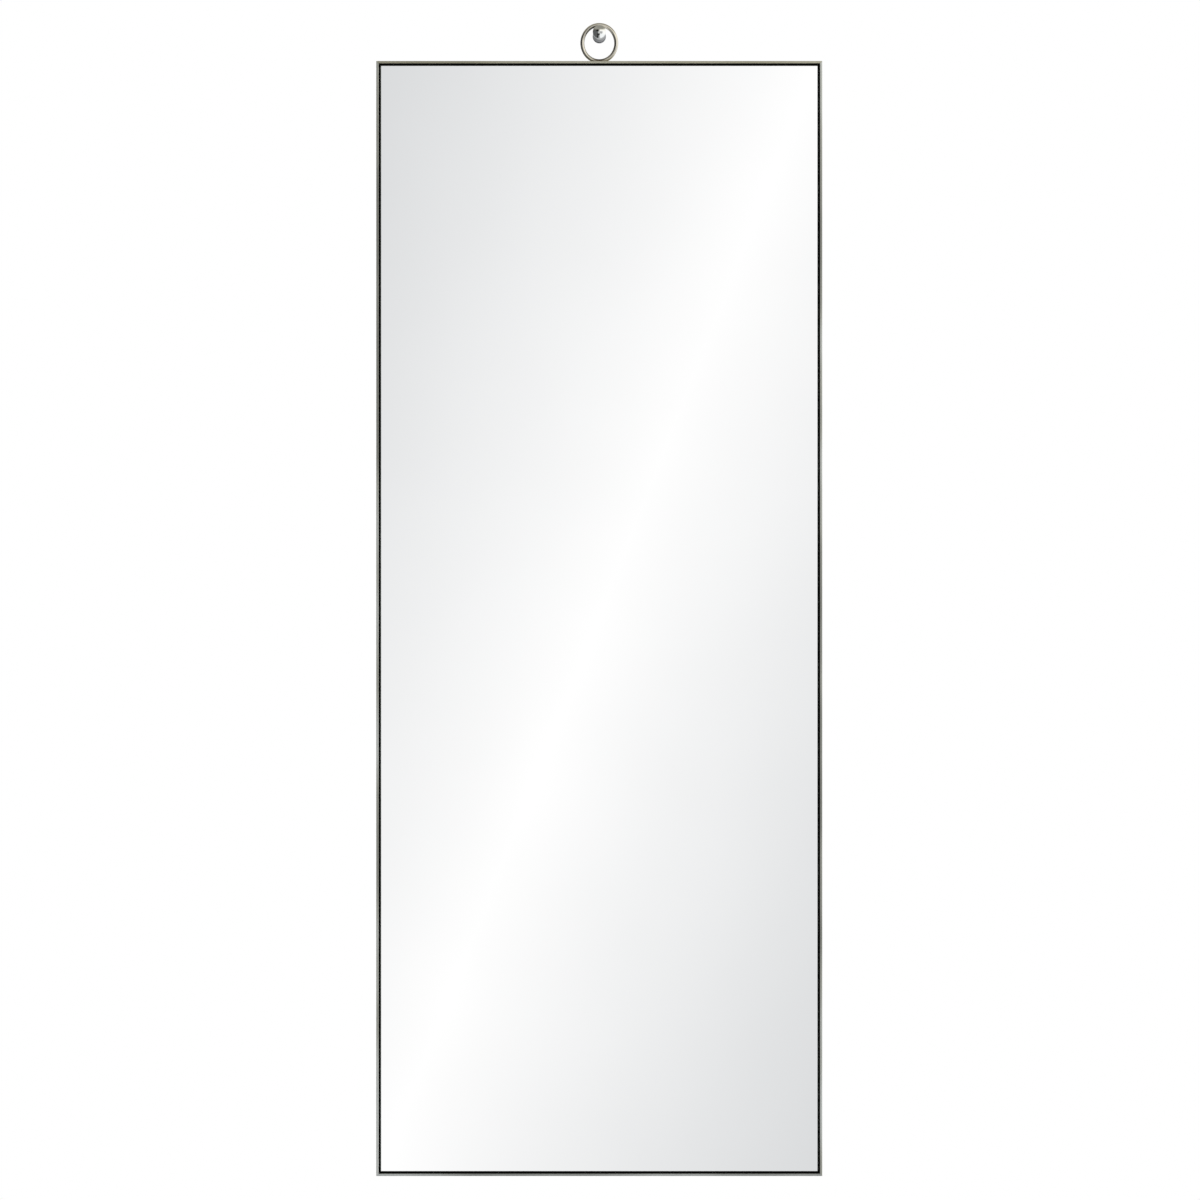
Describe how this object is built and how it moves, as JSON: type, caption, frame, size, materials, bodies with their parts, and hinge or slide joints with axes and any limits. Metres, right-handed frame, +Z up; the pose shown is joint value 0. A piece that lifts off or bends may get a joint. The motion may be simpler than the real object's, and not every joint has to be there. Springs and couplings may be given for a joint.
{
  "type": "wall mirror",
  "caption": "Tall rectangular wall mirror in a slim brushed metal frame, with a round-rod ring welded on top that hangs on a turned wall peg.",
  "frame": {"origin": "centre of the peg's back, where it meets the wall", "axes": "+Z up, +X to the right of someone facing the mirror, +Y into the wall, so the mirror faces -Y"},
  "size_m": [0.6096, 0.0767, 1.5786],
  "materials": {
    "brushed_nickel": "brushed, slightly warm nickel plate",
    "satin_nickel_plate": "satin nickel plate over weld and mill scale",
    "polished_nickel": "polished",
    "silvered_glass": "polished silvered glass with a ground arris",
    "black_gasket": "matt black strip",
    "foam_tape": "white closed-cell foam",
    "fibreboard": "unfinished medium density fibreboard",
    "zinc_plated_steel": "bright zinc plate",
    "black_rubber": "matt moulded rubber",
    "nylon": "moulded grey nylon"
  },
  "bodies": {
    "wall_peg": {"wall_plug": "nylon", "hanger_bolt": "zinc_plated_steel", "peg_rosette": "polished_nickel", "peg_knob": "polished_nickel"},
    "mirror": {"frame_top_bar": "brushed_nickel", "frame_bottom_bar": "brushed_nickel", "frame_left_bar": "brushed_nickel", "frame_right_bar": "brushed_nickel", "hanging_ring": "brushed_nickel", "ring_weld": "brushed_nickel", "gusset_upper_left": "satin_nickel_plate", "gusset_upper_right": "satin_nickel_plate", "gusset_lower_left": "satin_nickel_plate", "gusset_lower_right": "satin_nickel_plate", "backing_tabs": "satin_nickel_plate", "mirror_glass": "silvered_glass", "mounting_tape": "foam_tape", "gasket_top": "black_gasket", "gasket_bottom": "black_gasket", "gasket_left": "black_gasket", "gasket_right": "black_gasket", "backing_board": "fibreboard", "board_screws": "zinc_plated_steel", "bumper_screws": "zinc_plated_steel", "bumper_upper_left": "black_rubber", "bumper_upper_right": "black_rubber", "bumper_lower_left": "black_rubber", "bumper_lower_right": "black_rubber"}
  },
  "joints": [
    {"name": "ring_swing", "type": "hinge", "parent": "wall_peg", "child": "mirror", "pos_m": [0, -0.0222, 0], "axis": [0, 1, 0], "range_deg": [-15, 15]}
  ]
}
